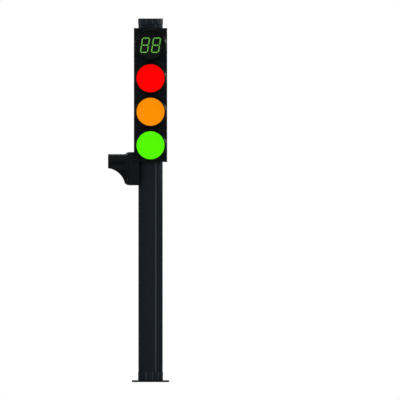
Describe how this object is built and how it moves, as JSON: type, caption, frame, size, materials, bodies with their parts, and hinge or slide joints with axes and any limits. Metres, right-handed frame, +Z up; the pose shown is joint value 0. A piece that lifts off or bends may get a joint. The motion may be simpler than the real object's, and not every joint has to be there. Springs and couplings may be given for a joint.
{
  "type": "traffic light pole",
  "caption": "Flat-sided traffic light pole with a countdown and vehicle lights on its front, a single light on its back and a pedestrian sign on its side, behind hinged doors.",
  "frame": {"origin": "centre of the anchor holes in the foot plate's underside, under the middle of the pole", "axes": "+Z up along the pole, -Y towards the vehicle lights' front, -X towards the pedestrian sign's front"},
  "size_m": [0.6385, 0.784, 3.8],
  "materials": {
    "plate_paint": "satin black paint on steel",
    "cast_black": "satin black coating on cast aluminium",
    "pole_aluminium": "satin black anodised extrusion",
    "housing_aluminium": "satin black coated extrusion",
    "housing_plastic": "fine moulded grain",
    "door_plastic": "semi-gloss moulded",
    "visor_plastic": "semi-gloss moulded",
    "lamp_plastic": "moulded",
    "seal_rubber": "matt",
    "screw_steel": "dark plated",
    "bolt_steel": "zinc plated",
    "terminal_plastic": "moulded",
    "panel_black": "smoked display panel",
    "lens_red": "lit lens",
    "lens_amber": "lit lens",
    "lens_green": "lit lens",
    "lens_rear": "unlit clear lens",
    "digit_green": "lit strokes",
    "figure_red": "lit figure",
    "figure_green": "lit figure"
  },
  "bodies": {
    "pole": {"base_plate": "plate_paint", "base_collar": "cast_black", "collar_screws": "screw_steel", "pole_profile": "pole_aluminium", "top_cap": "cast_black", "cap_screws": "screw_steel", "vehicle_housing": "housing_aluminium", "vehicle_top_plate": "housing_aluminium", "vehicle_bottom_plate": "housing_aluminium", "vehicle_plate_screws": "screw_steel", "vehicle_dividers": "housing_aluminium", "vehicle_mount_bolts": "bolt_steel", "rear_housing": "housing_plastic", "rear_mount_bolts": "bolt_steel", "pedestrian_housing": "housing_plastic", "pedestrian_mount_bolts": "bolt_steel", "cable_bushes": "seal_rubber", "terminal_block": "terminal_plastic", "hinge_pins": "bolt_steel"},
    "countdown_window": {"countdown_door": "door_plastic", "countdown_visor": "visor_plastic", "countdown_panel": "panel_black", "countdown_seals": "seal_rubber", "countdown_lamp_unit": "lamp_plastic", "countdown_door_screws": "screw_steel", "countdown_digits": "digit_green"},
    "red_window": {"red_door": "door_plastic", "red_visor": "visor_plastic", "red_lens": "lens_red", "red_seals": "seal_rubber", "red_lamp_unit": "lamp_plastic", "red_door_screws": "screw_steel"},
    "amber_window": {"amber_door": "door_plastic", "amber_visor": "visor_plastic", "amber_lens": "lens_amber", "amber_seals": "seal_rubber", "amber_lamp_unit": "lamp_plastic", "amber_door_screws": "screw_steel"},
    "green_window": {"green_door": "door_plastic", "green_visor": "visor_plastic", "green_lens": "lens_green", "green_seals": "seal_rubber", "green_lamp_unit": "lamp_plastic", "green_door_screws": "screw_steel"},
    "rear_window": {"rear_door": "door_plastic", "rear_visor": "visor_plastic", "rear_lens": "lens_rear", "rear_seals": "seal_rubber", "rear_lamp_unit": "lamp_plastic", "rear_door_screws": "screw_steel"},
    "pedestrian_window": {"pedestrian_door": "door_plastic", "pedestrian_visor": "visor_plastic", "pedestrian_panel": "panel_black", "pedestrian_seals": "seal_rubber", "pedestrian_lamp_unit": "lamp_plastic", "pedestrian_door_screws": "screw_steel", "standing_figure": "figure_red", "walking_figure": "figure_green"}
  },
  "joints": [
    {"name": "countdown_hinge", "type": "hinge", "parent": "pole", "child": "countdown_window", "pos_m": [0.168, -0.191, 3.525], "axis": [0, 0, 1], "range_deg": [0, 100]},
    {"name": "red_hinge", "type": "hinge", "parent": "pole", "child": "red_window", "pos_m": [0.168, -0.191, 3.175], "axis": [0, 0, 1], "range_deg": [0, 100]},
    {"name": "amber_hinge", "type": "hinge", "parent": "pole", "child": "amber_window", "pos_m": [0.168, -0.191, 2.825], "axis": [0, 0, 1], "range_deg": [0, 100]},
    {"name": "green_hinge", "type": "hinge", "parent": "pole", "child": "green_window", "pos_m": [0.168, -0.191, 2.475], "axis": [0, 0, 1], "range_deg": [0, 100]},
    {"name": "rear_hinge", "type": "hinge", "parent": "pole", "child": "rear_window", "pos_m": [-0.168, 0.191, 3.525], "axis": [0, 0, 1], "range_deg": [0, 100]},
    {"name": "pedestrian_hinge", "type": "hinge", "parent": "pole", "child": "pedestrian_window", "pos_m": [-0.2435, -0.168, 2.23], "axis": [0, 0, 1], "range_deg": [0, 100]}
  ]
}
